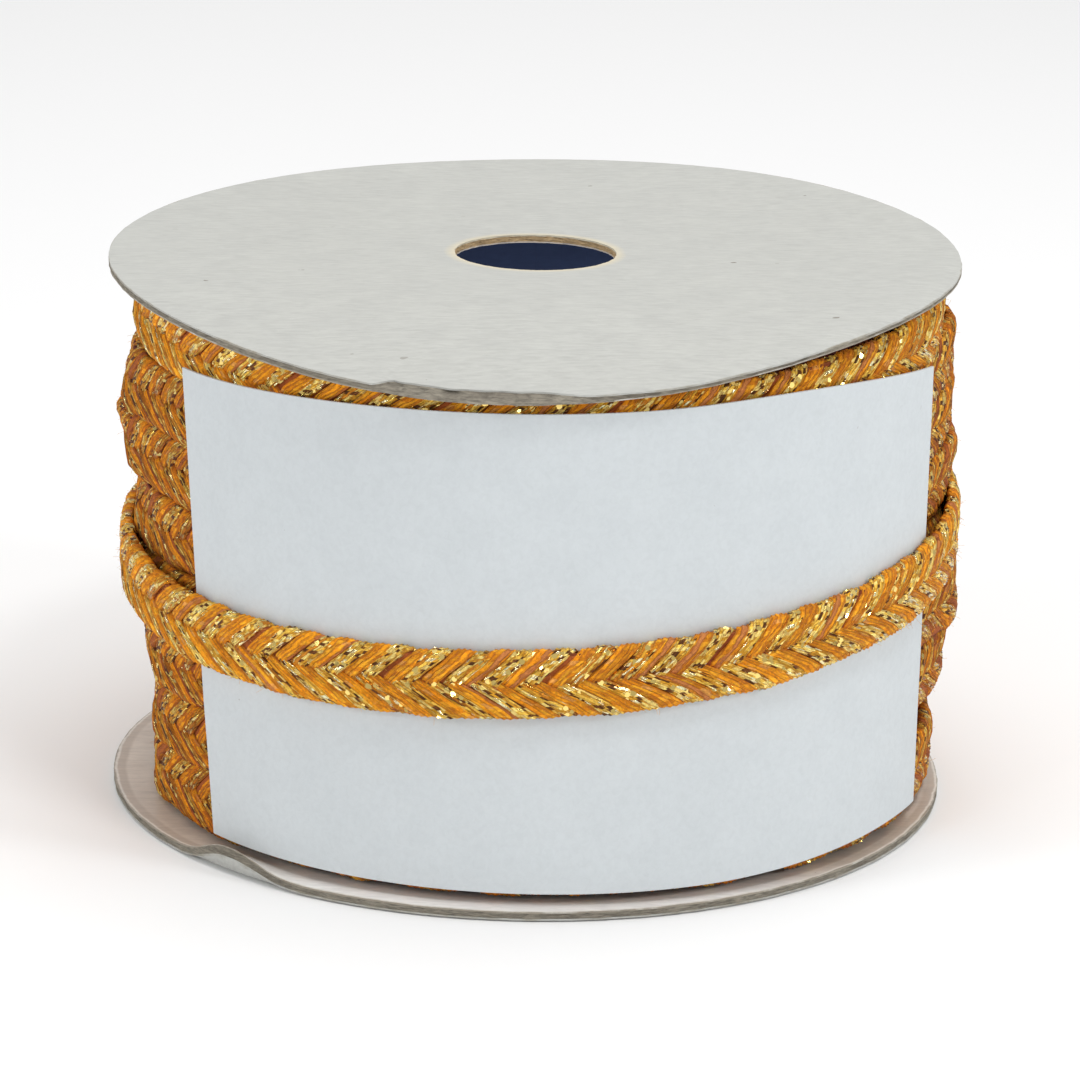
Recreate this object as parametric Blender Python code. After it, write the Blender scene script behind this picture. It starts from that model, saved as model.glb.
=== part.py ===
"""Ribbon spool: two lined chipboard flanges on a paper tube, wound with flat braid.

A blank card label lies on the winding, held by the last turn of braid, and can
slip round under it. The origin is at the centre of the bottom face, +Z runs up
the spool's axis and the label faces -Y. All sizes are in metres.
"""

import math

import bmesh
import bpy

MM = 0.001

# Flanges: a grey board with a paper liner on each face, die cut together
FLANGE_RADIUS = 51.0 * MM
HOLE_RADIUS = 9.7 * MM
LINER = 0.15 * MM
BOARD = 0.50 * MM
GLUE_LINE = 0.10 * MM
FLANGE = BOARD + 2 * LINER + 2 * GLUE_LINE
HUB_HEIGHT = 65.8 * MM
HUB_RADIUS = 22.0 * MM
WARP_STEPS = (34.0 * MM, 44.0 * MM)
DENT_INNER_RADIUS = 46.5 * MM
DENT_STEP = 48.7 * MM
DENT_RISE = 1.7 * MM
DENT_DIRECTION = math.radians(-132.5)
DENT_SPREAD = math.radians(6.5)

# Paper tube: two plies, glued by its ends between the flanges
TUBE_RADIUS = 22.0 * MM
OUTER_PLY = 0.8 * MM
INNER_PLY = 0.6 * MM
GLUE = 0.3 * MM

# Flat braid, wound in layers a little off the spool's axis
BRAID_THICKNESS = 1.8 * MM
BRAID_WIDTH = 8.4 * MM
BRAID_EDGE = 0.6 * MM
WINDING_OFFSET = 1.1 * MM
WINDING_RADIUS = 48.6 * MM
TURN_SLACK = [1.0 * MM, 0.6 * MM, 0.2 * MM, 0.0, 0.0, 0.0, 0.0, 0.4 * MM]
LAYERS_RADIUS = WINDING_RADIUS - max(TURN_SLACK) - BRAID_THICKNESS - 0.3 * MM
TOUCH = 0.3 * MM

# Card label round the front, and the turn of braid that holds it
LABEL_THICKNESS = 0.3 * MM
LABEL_RADIUS = WINDING_RADIUS + TOUCH
LABEL_LEFT = (math.radians(-57.0), math.radians(-49.5))
LABEL_RIGHT = (math.radians(67.8), math.radians(68.4))
LABEL_TOP = (57.5 * MM, 57.3 * MM)
LABEL_CROWN = 1.8 * MM
CROWN_SKEW = 1.5
LABEL_BOTTOM = (2.7 * MM, 3.5 * MM)
BAND_RADIUS = LABEL_RADIUS + LABEL_THICKNESS + 0.2 * MM + BRAID_THICKNESS
BAND_HEIGHT = 32.1 * MM
BAND_TILT = 5.0 * MM
BAND_TILT_FROM = math.radians(60.0)
TAIL_SPAN = (math.radians(162.0), math.radians(205.0))
TAIL_HEIGHT = 20.5 * MM
TAIL_DROP = 3.0 * MM

FLANGE_SEGMENTS = 48
WINDING_SEGMENTS = 40

PAPER_WHITE = (0.63, 0.62, 0.58)
LINER_BEIGE = (0.45, 0.39, 0.33)
BOARD_GREY = (0.26, 0.23, 0.18)
KRAFT = (0.40, 0.29, 0.16)
NAVY = (0.02, 0.03, 0.07)
GLUE_CLEAR = (0.62, 0.55, 0.38)
CARD_WHITE = (0.68, 0.71, 0.73)
BRAID_ORANGE = (0.60, 0.22, 0.02)
BRAID_GOLD = (0.70, 0.42, 0.10)

LOW_INSIDE = FLANGE
HIGH_INSIDE = HUB_HEIGHT - FLANGE


def clear_scene():
    for item in list(bpy.data.objects):
        bpy.data.objects.remove(item, do_unlink=True)


def finish(name, colour, roughness, metallic=0.0):
    material = bpy.data.materials.new(name)
    material.use_nodes = True
    shader = material.node_tree.nodes["Principled BSDF"]
    shader.inputs["Base Color"].default_value = (*colour, 1.0)
    shader.inputs["Roughness"].default_value = roughness
    shader.inputs["Metallic"].default_value = metallic
    return material


def add_object(name, mesh, material, offset):
    mesh.materials.append(material)
    mesh.shade_smooth()
    mesh.set_sharp_from_angle(angle=math.radians(40.0))
    item = bpy.data.objects.new(name, mesh)
    item.location.x = offset
    bpy.context.scene.collection.objects.link(item)
    return item


def warp(x, y):
    """Lift of the top flange: flat over the hub, then curling more and more to the rim."""
    radius = math.hypot(x, y)
    if radius <= HUB_RADIUS:
        return 0.0
    turn = math.atan2(y, x)
    rim = 0.6 * math.cos(turn) + 2.4 * math.sin(turn) - 0.5
    rim += 1.1 * math.cos(2 * turn) - 0.1 * math.sin(2 * turn)
    rim -= 0.2 * math.cos(3 * turn) + 0.6 * math.sin(3 * turn) + 0.3 * math.cos(4 * turn)
    return rim * MM * ((radius - HUB_RADIUS) / (FLANGE_RADIUS - HUB_RADIUS)) ** 2


def top_flange_lift(x, y, z):
    return warp(x, y)


def bottom_flange_lift(x, y, z):
    """The bottom flange is flat apart from one crushed stretch of its rim."""
    radius = math.hypot(x, y)
    if radius <= DENT_INNER_RADIUS:
        return 0.0
    aside = math.remainder(math.atan2(y, x) - DENT_DIRECTION, 2 * math.pi) / DENT_SPREAD
    outward = (radius - DENT_INNER_RADIUS) / (FLANGE_RADIUS - DENT_INNER_RADIUS)
    return DENT_RISE * outward**2 * math.exp(-(aside**2))


def winding_lift(x, y, z):
    """The layers rise and dip with the top flange, less and less towards the bottom."""
    return warp(x, y) * (z - LOW_INSIDE) / (HIGH_INSIDE - LOW_INSIDE)


def band_lift(x, y, z):
    """The last turn climbs to the right across the label and comes back down behind."""
    return BAND_TILT * math.sin(math.atan2(x - WINDING_OFFSET, -y) - BAND_TILT_FROM)


def turned(name, outline, material, segments, offset=0.0, lift=None):
    """Turn a closed outline of (radius, height) points about the upright line at x = offset."""
    shape = bmesh.new()
    corners = [shape.verts.new((radius, 0.0, height)) for radius, height in outline]
    edges = [shape.edges.new(pair) for pair in zip(corners, corners[1:] + corners[:1])]
    bmesh.ops.spin(
        shape,
        geom=corners + edges,
        axis=(0.0, 0.0, 1.0),
        angle=2 * math.pi,
        steps=segments,
        use_merge=True,
    )
    bmesh.ops.remove_doubles(shape, verts=shape.verts, dist=1e-7)
    if lift:
        for vert in shape.verts:
            vert.co.z += lift(vert.co.x + offset, vert.co.y, vert.co.z)
    bmesh.ops.triangulate(shape, faces=shape.faces, quad_method="SHORT_EDGE")
    bmesh.ops.recalc_face_normals(shape, faces=shape.faces)
    mesh = bpy.data.meshes.new(name)
    shape.to_mesh(mesh)
    shape.free()
    return add_object(name, mesh, material, offset)


def washer(inner, outer, low, high, steps=()):
    """Outline of a flat ring; steps are radii between its edges where it may bend."""
    bottom = [(radius, low) for radius in (inner, *steps, outer)]
    top = [(radius, high) for radius in (outer, *reversed(steps), inner)]
    return bottom + top


def braid_outline(outer, low, high):
    """Flat braid seen end on, with its two outer edges rounded off."""
    inner = outer - BRAID_THICKNESS
    return [
        (inner, low),
        (outer - BRAID_EDGE, low),
        (outer, low + BRAID_EDGE),
        (outer, high - BRAID_EDGE),
        (outer - BRAID_EDGE, high),
        (inner, high),
    ]


def wrapped(name, radius, thickness, left, right, top, bottom, crown, material, columns):
    """A strip lying on the winding: left and right are (top, bottom) angles from the front
    towards +X, top and bottom are (left, right) heights, and crown is how far the top edge
    rises between its ends, most to the right of the middle."""
    shape = bmesh.new()
    bmesh.ops.create_grid(shape, x_segments=columns, y_segments=3, size=0.5)
    for vert in shape.verts:
        across, up = vert.co.x + 0.5, vert.co.y + 0.5
        start = left[1] + (left[0] - left[1]) * up
        end = right[1] + (right[0] - right[1]) * up
        low = bottom[0] + (bottom[1] - bottom[0]) * across
        high = top[0] + (top[1] - top[0]) * across + crown * math.sin(math.pi * across**CROWN_SKEW)
        turn = start + (end - start) * across
        vert.co = (radius * math.sin(turn), -radius * math.cos(turn), low + (high - low) * up)
    bmesh.ops.triangulate(shape, faces=shape.faces, quad_method="SHORT_EDGE")
    bmesh.ops.recalc_face_normals(shape, faces=shape.faces)
    face = shape.faces[:][0]
    if face.normal.xy.dot(face.calc_center_median().xy) < 0.0:
        bmesh.ops.reverse_faces(shape, faces=shape.faces)
    mesh = bpy.data.meshes.new(name)
    shape.to_mesh(mesh)
    shape.free()
    item = add_object(name, mesh, material, WINDING_OFFSET)
    wall = item.modifiers.new("thickness", "SOLIDIFY")
    wall.thickness = thickness
    wall.offset = 1.0
    return item


def build_flange(side, base, face_below, face_above, steps, lift):
    """One flange from its lowest face up: liner, board, liner."""
    board_low = base + LINER + GLUE_LINE
    liner_low = board_low + BOARD + GLUE_LINE
    grey = finish(f"{side} chipboard", BOARD_GREY, 0.95)
    below_name, below_finish = face_below
    above_name, above_finish = face_above
    for name, low, thickness, material in (
        (f"{side}_flange_{below_name}", base, LINER, below_finish),
        (f"{side}_flange_board", board_low, BOARD, grey),
        (f"{side}_flange_{above_name}", liner_low, LINER, above_finish),
    ):
        outline = washer(HOLE_RADIUS, FLANGE_RADIUS, low, low + thickness, steps)
        turned(name, outline, material, FLANGE_SEGMENTS, lift=lift)


def build_tube():
    """Two paper plies, with a ring of set glue under and over their ends."""
    low = LOW_INSIDE + 2 * GLUE_LINE + GLUE
    high = HIGH_INSIDE - 2 * GLUE_LINE - GLUE
    seam = TUBE_RADIUS - OUTER_PLY
    inner = seam - GLUE_LINE - INNER_PLY
    kraft = finish("kraft paper tube", KRAFT, 0.9)
    navy = finish("navy paper lining", NAVY, 0.8)
    outer_ply = washer(seam, TUBE_RADIUS, low, high)
    inner_ply = washer(inner, seam - GLUE_LINE, low, high)
    turned("core_tube_outer_ply", outer_ply, kraft, WINDING_SEGMENTS)
    turned("core_tube_inner_ply", inner_ply, navy, WINDING_SEGMENTS)
    for name, base in (
        ("bottom_glue_ring", LOW_INSIDE + GLUE_LINE),
        ("top_glue_ring", HIGH_INSIDE - GLUE_LINE - GLUE),
    ):
        amber = finish(name.replace("_", " "), GLUE_CLEAR, 0.4)
        ring = washer(inner, TUBE_RADIUS, base, base + GLUE)
        turned(name, ring, amber, WINDING_SEGMENTS)


def build_winding():
    """The buried layers as one body, and the outermost layer turn by turn."""
    low = LOW_INSIDE + TOUCH
    high = HIGH_INSIDE - TOUCH
    middle = (TUBE_RADIUS + LAYERS_RADIUS) / 2
    reach = TUBE_RADIUS + WINDING_OFFSET + TOUCH
    buried = washer(reach, LAYERS_RADIUS, low, high, (middle,))
    orange = finish("braid buried layers", BRAID_ORANGE, 0.7)
    turned(
        "braid_inner_layers", buried, orange, WINDING_SEGMENTS, WINDING_OFFSET, winding_lift
    )
    pitch = (high - low + TOUCH) / len(TURN_SLACK)
    for index, slack in enumerate(TURN_SLACK):
        base = low + index * pitch
        gold = finish(f"braid turn {index + 1}", BRAID_GOLD, 0.45, 0.4)
        outline = braid_outline(WINDING_RADIUS - slack, base, base + pitch - TOUCH)
        name = f"braid_turn_{index + 1}"
        turned(name, outline, gold, WINDING_SEGMENTS, WINDING_OFFSET, winding_lift)


def build_label():
    white = finish("blank card", CARD_WHITE, 0.8)
    wrapped(
        "label_card",
        LABEL_RADIUS,
        LABEL_THICKNESS,
        LABEL_LEFT,
        LABEL_RIGHT,
        LABEL_TOP,
        LABEL_BOTTOM,
        LABEL_CROWN,
        white,
        columns=36,
    )


def build_band():
    """The turn over the label, and the end of the braid lying flat behind the spool."""
    gold = finish("braid band", BRAID_GOLD, 0.45, 0.4)
    low = BAND_HEIGHT - BRAID_WIDTH / 2
    outline = braid_outline(BAND_RADIUS, low, low + BRAID_WIDTH)
    turned("braid_band", outline, gold, WINDING_SEGMENTS, WINDING_OFFSET, band_lift)
    first, last = TAIL_SPAN
    top = (TAIL_HEIGHT + BRAID_WIDTH / 2, TAIL_HEIGHT + BRAID_WIDTH / 2 - TAIL_DROP)
    bottom = (TAIL_HEIGHT - BRAID_WIDTH / 2, TAIL_HEIGHT - BRAID_WIDTH / 2 - TAIL_DROP)
    wrapped(
        "braid_tail",
        WINDING_RADIUS + TOUCH,
        BRAID_THICKNESS - TOUCH,
        (first, first),
        (last, last),
        top,
        bottom,
        0.0,
        finish("braid tail", BRAID_GOLD, 0.45, 0.4),
        columns=10,
    )


clear_scene()
white_liner = finish("top face paper", PAPER_WHITE, 0.85)
top_beige = finish("top flange inner paper", LINER_BEIGE, 0.6)
bottom_beige = finish("bottom flange inner paper", LINER_BEIGE, 0.6)
base_white = finish("bottom face paper", PAPER_WHITE, 0.85)
build_flange(
    "bottom",
    0.0,
    ("outer_liner", base_white),
    ("inner_liner", bottom_beige),
    (DENT_INNER_RADIUS, DENT_STEP),
    bottom_flange_lift,
)
build_flange(
    "top",
    HIGH_INSIDE,
    ("inner_liner", top_beige),
    ("outer_liner", white_liner),
    (HUB_RADIUS, *WARP_STEPS),
    top_flange_lift,
)
build_tube()
build_winding()
build_label()
build_band()
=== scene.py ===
"""Ribbon spool: flat braid on a chipboard spool, with a blank card label under the last turn."""

import math

import bpy
import numpy as np
from mathutils import Matrix, Vector, noise


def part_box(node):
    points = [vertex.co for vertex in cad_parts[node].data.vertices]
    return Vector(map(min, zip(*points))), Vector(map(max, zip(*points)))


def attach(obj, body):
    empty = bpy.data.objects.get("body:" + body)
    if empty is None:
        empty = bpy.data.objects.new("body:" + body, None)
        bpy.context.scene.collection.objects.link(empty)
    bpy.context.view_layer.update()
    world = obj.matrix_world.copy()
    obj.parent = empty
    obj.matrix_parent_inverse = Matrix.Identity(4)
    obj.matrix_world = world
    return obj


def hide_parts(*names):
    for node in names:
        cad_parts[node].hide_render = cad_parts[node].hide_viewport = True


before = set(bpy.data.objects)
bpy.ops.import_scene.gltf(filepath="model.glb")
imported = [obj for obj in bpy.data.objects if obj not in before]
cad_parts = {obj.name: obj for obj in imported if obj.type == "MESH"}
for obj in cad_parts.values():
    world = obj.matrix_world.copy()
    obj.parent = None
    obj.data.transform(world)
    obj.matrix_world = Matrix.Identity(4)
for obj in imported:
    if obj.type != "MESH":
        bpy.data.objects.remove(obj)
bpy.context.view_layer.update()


# ---------------------------------------------------------------------------------------------
# Table, daylight and camera
# The spool stands on a plain pale table top under a large soft daylight box. Small boxes in front
# and at the sides bring out the glitter of the gold yarn, and one behind lights the far table. A
# long lens looks down a little on the label side.

MM = 0.001
TABLE_WHITE = (0.93, 0.93, 0.93)
ROOM_LIGHT = 0.50
# Each box's place and aim, then its width and depth, all in metres, and its watts.
SOFTBOXES = {
    "overhead_box": ((0.06, 0.15, 0.9), (0.0, 0.0, 0.0), 0.8, 0.8, 3.5),
    "glitter_box": ((0.15, -0.26, 0.58), (0.0, -0.04, 0.03), 0.10, 0.10, 0.70),
    "front_left_box": ((-0.78, -0.40, 0.45), (0.0, 0.0, 0.03), 0.20, 0.20, 1.7),
    "front_right_box": ((0.78, -0.40, 0.45), (0.0, 0.0, 0.03), 0.15, 0.15, 2.1),
    "glitter_left_box": ((-0.50, -0.70, 0.36), (0.0, 0.0, 0.03), 0.08, 0.08, 0.40),
    "far_table_box": ((0.0, 0.95, 0.6), (0.0, 0.65, 0.0), 0.6, 0.4, 0.75),
}
BORE_LIGHT_HEIGHT = 34.0 * MM
BORE_LIGHT_WATTS = 0.019
VIEW_AIM = Vector((1.207, 0.0, 29.78)) * MM
VIEW_DISTANCE = 520.0 * MM
VIEW_RISE = math.radians(16.475)
VIEW_ROLL = math.radians(1.114)
VIEW_LENS = 141.56

bpy.context.scene.view_settings.view_transform = "Standard"


def deselect():
    bpy.ops.object.select_all(action="DESELECT")


def principled(name, roughness, metallic=0.0, specular=0.5):
    """A material with a Principled shader, and that shader, ready for its colour nodes."""
    material = bpy.data.materials.new(name)
    material.use_nodes = True
    shader = material.node_tree.nodes["Principled BSDF"]
    shader.inputs["Roughness"].default_value = roughness
    shader.inputs["Metallic"].default_value = metallic
    shader.inputs["Specular IOR Level"].default_value = specular
    return material, shader


def softbox(name, place, aim, width, depth, watts):
    """A rectangular area light that faces its aim."""
    bpy.ops.object.light_add(type="AREA", location=place)
    box = bpy.context.object
    box.name = name
    box.data.shape = "RECTANGLE"
    box.data.size = width
    box.data.size_y = depth
    box.data.energy = watts
    box.rotation_euler = (Vector(aim) - Vector(place)).to_track_quat("-Z", "Y").to_euler()


deselect()
bpy.ops.mesh.primitive_plane_add(size=6.0, location=(0.0, 0.0, -0.2 * MM))
table = bpy.context.object
table.name = "table_top"
table_paint, table_shader = principled("pale table top", 0.9, specular=0.1)
table_shader.inputs["Base Color"].default_value = (*TABLE_WHITE, 1.0)
table.data.materials.append(table_paint)

world = bpy.data.worlds.new("white room")
world.use_nodes = True
world.node_tree.nodes["Background"].inputs["Color"].default_value = (1.0, 1.0, 1.0, 1.0)
world.node_tree.nodes["Background"].inputs["Strength"].default_value = ROOM_LIGHT
bpy.context.scene.world = world
for name, setting in SOFTBOXES.items():
    softbox(name, *setting)

# A small lamp stands for the daylight that bounces down the spindle hole.
bpy.ops.object.light_add(type="POINT", location=(0.0, 0.0, BORE_LIGHT_HEIGHT))
bpy.context.object.name = "bounce_in_bore"
bpy.context.object.data.energy = BORE_LIGHT_WATTS
bpy.context.object.data.shadow_soft_size = 6.0 * MM

bpy.ops.object.camera_add()
camera = bpy.context.object
camera.name = "camera"
camera.data.lens = VIEW_LENS
camera.data.sensor_width = 36.0
back_off = Vector((0.0, -math.cos(VIEW_RISE), math.sin(VIEW_RISE))) * VIEW_DISTANCE
tip = Matrix.Rotation(math.pi / 2 - VIEW_RISE, 4, "X") @ Matrix.Rotation(VIEW_ROLL, 4, "Z")
camera.matrix_world = Matrix.Translation(VIEW_AIM + back_off) @ tip
bpy.context.scene.camera = camera


# ---------------------------------------------------------------------------------------------
# Core tube and its glue
# A short paper tube of two plies, brown kraft outside and dark navy paper inside, stands between
# the flanges on a ring of set glue at each end. Only its lining shows, down the spindle hole.

PAPER_PATTERN = bpy.data.node_groups.new("Paper fibres", "ShaderNodeTree")
ALONG_X = (0.16, 1.0, 1.0)
TUBE_BROWN, TUBE_BROWN_DEEP, TUBE_FLECK = (0.42, 0.29, 0.16), (0.34, 0.22, 0.12), (0.10, 0.06, 0.03)
NAVY, NAVY_DEEP, NAVY_FLECK = (0.035, 0.055, 0.125), (0.030, 0.048, 0.11), (0.05, 0.07, 0.12)
GLUE_AMBER, GLUE_DEEP, GLUE_FLECK = (0.62, 0.52, 0.32), (0.5, 0.4, 0.22), (0.2, 0.14, 0.06)


def group_socket(tree, name, way, kind, value=None):
    """Add an input or output, of a kind such as Float or Vector, to a node group."""
    socket = tree.interface.new_socket(name=name, in_out=way, socket_type=f"NodeSocket{kind}")
    if value is not None:
        socket.default_value = value


def node(tree, kind, **settings):
    """Add a node; kind is its type without the ShaderNode in front."""
    item = tree.nodes.new(kind if kind.startswith("Node") else f"ShaderNode{kind}")
    for key, value in settings.items():
        setattr(item, key, value)
    return item


def maths(tree, operation, first, second=None, third=None):
    """A Math node's output; each operand is a number or another node's output."""
    item = node(tree, "Math", operation=operation)
    for socket, value in zip(item.inputs, (first, second, third)):
        if value is None:
            continue
        if isinstance(value, (int, float)):
            socket.default_value = value
        else:
            tree.links.new(value, socket)
    return item.outputs[0]


def stretch(tree, vector, scale):
    """The vector scaled along each axis."""
    item = node(tree, "Mapping")
    item.inputs["Scale"].default_value = scale
    tree.links.new(vector, item.inputs["Vector"])
    return item.outputs["Vector"]


def ramp(tree, factor, stops):
    """A colour ramp; stops are (place, grey value or colour)."""
    item = node(tree, "ValToRGB")
    while len(item.color_ramp.elements) < len(stops):
        item.color_ramp.elements.new(0.5)
    for element, (place, colour) in zip(item.color_ramp.elements, stops):
        element.position = place
        tone = (colour,) * 3 if isinstance(colour, (int, float)) else colour
        element.color = (*tone, 1.0)
    tree.links.new(factor, item.inputs["Fac"])
    return item.outputs["Color"]


def blend(tree, factor, first, second, mode="MIX"):
    """A colour mix's output; each operand is a number, a colour or another node's output."""
    item = node(tree, "Mix", data_type="RGBA", blend_type=mode)
    factor_in, first_in, second_in = item.inputs[0], item.inputs[6], item.inputs[7]
    for socket, value in ((factor_in, factor), (first_in, first), (second_in, second)):
        if isinstance(value, (int, float)):
            socket.default_value = value
        elif isinstance(value, tuple):
            socket.default_value = (*value, 1.0)
        else:
            tree.links.new(value, socket)
    return item.outputs[2]


def texture_noise(tree, vector, scale, detail=2.0, roughness=0.5, distortion=0.0):
    item = node(tree, "TexNoise")
    for key, value in (
        ("Scale", scale),
        ("Detail", detail),
        ("Roughness", roughness),
        ("Distortion", distortion),
    ):
        item.inputs[key].default_value = value
    tree.links.new(vector, item.inputs["Vector"])
    return item.outputs["Fac"]


def build_paper_pattern(tree):
    """Cloudy mottling, fibres drawn out along the grain, and sparse flecks, from a point in metres."""
    group_socket(tree, "Point", "INPUT", "Vector")
    group_socket(tree, "Grain", "INPUT", "Vector")
    for name in ("Mottle", "Fibre", "Fleck", "Height"):
        group_socket(tree, name, "OUTPUT", "Float")
    inside = node(tree, "NodeGroupInput")
    outside = node(tree, "NodeGroupOutput")
    point = inside.outputs["Point"]
    cloud = texture_noise(tree, point, 190.0, 5.0, 0.65)
    lying = node(tree, "VectorMath", operation="MULTIPLY")
    tree.links.new(point, lying.inputs[0])
    tree.links.new(inside.outputs["Grain"], lying.inputs[1])
    fibre = texture_noise(tree, lying.outputs["Vector"], 2600.0, 3.0, 0.65, 0.6)
    wavy = texture_noise(tree, point, 900.0, 1.0)
    moved = node(tree, "VectorMath", operation="MULTIPLY_ADD")
    tree.links.new(wavy, moved.inputs[0])
    moved.inputs[1].default_value = (0.0016, 0.0009, 0.0012)
    tree.links.new(point, moved.inputs[2])
    specks = node(tree, "TexVoronoi")
    specks.inputs["Scale"].default_value = 620.0
    tree.links.new(stretch(tree, moved.outputs["Vector"], (0.6, 1.0, 1.0)), specks.inputs["Vector"])
    pick = node(tree, "SeparateColor")
    tree.links.new(specks.outputs["Color"], pick.inputs["Color"])
    size = maths(tree, "MULTIPLY_ADD", pick.outputs["Green"], 0.16, 0.03)
    near = maths(tree, "LESS_THAN", specks.outputs["Distance"], size)
    rare = maths(tree, "GREATER_THAN", pick.outputs["Red"], 0.965)
    fleck = maths(tree, "MULTIPLY", maths(tree, "MULTIPLY", near, rare), pick.outputs["Blue"])
    height = maths(tree, "ADD", maths(tree, "MULTIPLY", fibre, 0.7), maths(tree, "MULTIPLY", cloud, 0.3))
    for name, value in (("Mottle", cloud), ("Fibre", fibre), ("Fleck", fleck), ("Height", height)):
        tree.links.new(value, outside.inputs[name])


build_paper_pattern(PAPER_PATTERN)


def paper(
    name, base, shade, fleck, roughness, relief, grain=ALONG_X, contrast=0.90, specular=0.3, tints=()
):
    """A paper or board finish: base and shade are its two tones, and fleck the colour of its
    specks. tints are laid over them in turn, as (colour, measure, full, gone): the measure is the
    radius from the axis or the depth from front to back, where the colour is full and gone."""
    material, shader = principled(name, roughness, specular=specular)
    tree = material.node_tree
    pattern = node(tree, "Group", node_tree=PAPER_PATTERN)
    pattern.inputs["Grain"].default_value = grain
    point = node(tree, "TexCoord").outputs["Object"]
    tree.links.new(point, pattern.inputs["Point"])
    toned = ramp(tree, pattern.outputs["Mottle"], ((0.30, shade), (0.66, base)))
    place = node(tree, "SeparateXYZ")
    tree.links.new(point, place.inputs["Vector"])
    flat = node(tree, "VectorMath", operation="MULTIPLY")
    flat.inputs[1].default_value = (1.0, 1.0, 0.0)
    tree.links.new(point, flat.inputs[0])
    radius = node(tree, "VectorMath", operation="LENGTH")
    tree.links.new(flat.outputs["Vector"], radius.inputs[0])
    strayed = maths(tree, "MULTIPLY_ADD", pattern.outputs["Mottle"], 0.8 * MM, radius.outputs["Value"])
    measures = {"radius": strayed, "depth": place.outputs["Y"]}
    for tint, measure, full, gone in tints:
        reach = node(tree, "MapRange")
        reach.inputs["From Min"].default_value = full
        reach.inputs["From Max"].default_value = gone
        reach.inputs["To Min"].default_value = 1.0
        reach.inputs["To Max"].default_value = 0.0
        tree.links.new(measures[measure], reach.inputs["Value"])
        toned = blend(tree, reach.outputs["Result"], toned, tint)
    fibrous = ramp(tree, pattern.outputs["Fibre"], ((0.30, contrast), (0.62, 1.0)))
    toned = blend(tree, 1.0, toned, fibrous, "MULTIPLY")
    specked = blend(tree, maths(tree, "MULTIPLY", pattern.outputs["Fleck"], 0.8), toned, fleck)
    tree.links.new(specked, shader.inputs["Base Color"])
    bump = node(tree, "Bump")
    bump.inputs["Strength"].default_value = relief
    bump.inputs["Distance"].default_value = 0.06 * MM
    tree.links.new(pattern.outputs["Height"], bump.inputs["Height"])
    tree.links.new(bump.outputs["Normal"], shader.inputs["Normal"])
    return material


def refinish(name, material):
    """Give a CAD node its finish."""
    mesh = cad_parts[name].data
    mesh.materials.clear()
    mesh.materials.append(material)


kraft = paper("kraft tube", TUBE_BROWN, TUBE_BROWN_DEEP, TUBE_FLECK, roughness=0.9, relief=0.5)
navy = paper("navy tube lining", NAVY, NAVY_DEEP, NAVY_FLECK, roughness=0.85, relief=0.1)
set_glue = paper("set glue", GLUE_AMBER, GLUE_DEEP, GLUE_FLECK, roughness=0.35, relief=0.2)
refinish("core_tube_outer_ply", kraft)
refinish("core_tube_inner_ply", navy)
refinish("bottom_glue_ring", set_glue)
refinish("top_glue_ring", set_glue)


# ---------------------------------------------------------------------------------------------
# Bottom flange
# A die-cut disc of grey chipboard with paper glued to both faces: greyish white below, beige
# above. It is flat but for one stretch of the rim that was crushed upwards, where the lower
# paper has come away from the board and hangs below it.

FLANGE_RADIUS = 51.0 * MM
HOLE_RADIUS = 9.7 * MM
FLANGE = 1.0 * MM
RIM_POINTS = 480
# Where the crush is, how high it lifts the rim, how far it reaches towards each side, and how much
# the board's plies swell and part there.
CRUSH_AT = math.radians(-42.0)
CRUSH_RISE = 1.75 * MM
CRUSH_REACH_LEFT, CRUSH_REACH_RIGHT = math.radians(6.0), math.radians(6.8)
CRUSH_FROM = 45.5 * MM
CRUSH_SWELL = 0.45 * MM

white_face = paper(
    "greyish white face paper",
    base=(0.532, 0.535, 0.503), shade=(0.498, 0.501, 0.474), fleck=(0.15, 0.12, 0.09),
    roughness=0.88, relief=0.8, contrast=0.87,
    tints=(
        ((0.66, 0.60, 0.46), "radius", 10.2 * MM, 11.4 * MM),
        ((0.33, 0.30, 0.24), "radius", 51.5 * MM, 51.3 * MM),
    ),
)
beige_face = paper(
    "beige inner paper",
    base=(0.72, 0.655, 0.575), shade=(0.61, 0.545, 0.475), fleck=(0.25, 0.18, 0.12),
    roughness=0.42, relief=0.3, grain=(0.12, 0.6, 1.0), contrast=0.84, specular=0.5,
    tints=(
        ((0.54, 0.47, 0.40), "radius", 50.1 * MM, 49.7 * MM),
        # Painted light and reflection: the face turns near white towards the front, where the white label
        # lights it and is mirrored in it.
        ((0.93, 0.92, 0.895), "depth", -44.0 * MM, -33.0 * MM),
        ((0.80, 0.77, 0.71), "radius", 51.05 * MM, 50.85 * MM),
        ((0.33, 0.29, 0.23), "radius", 51.35 * MM, 51.15 * MM),
    ),
)
grey_board = paper(
    "grey chipboard",
    base=(0.34, 0.31, 0.25), shade=(0.20, 0.175, 0.14), fleck=(0.08, 0.065, 0.05),
    roughness=0.95, relief=1.0, grain=(0.30, 0.30, 2.2), contrast=0.42,
    tints=(((0.62, 0.44, 0.24), "radius", 11.4 * MM, 13.4 * MM),),
)
# The laminate from the outside in: its papers and board, each with its thickness in mm, the
# number of plies its cut edge shows, the wear of that edge, its finish and its slot.
LAMINATE = (
    ("outer_liner", 0.20, 1, 0.05, white_face, "face_paper"),
    ("board", 0.65, 6, 0.11, grey_board, "chipboard"),
    ("inner_liner", 0.15, 1, 0.06, beige_face, "inner_paper"),
)


def ripple(turn, seed, scale):
    """Smooth ups and downs round a rim, from -1 to 1; seed picks which."""
    return noise.noise(Vector((math.cos(turn) * scale, math.sin(turn) * scale, seed * 7.31)))


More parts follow.
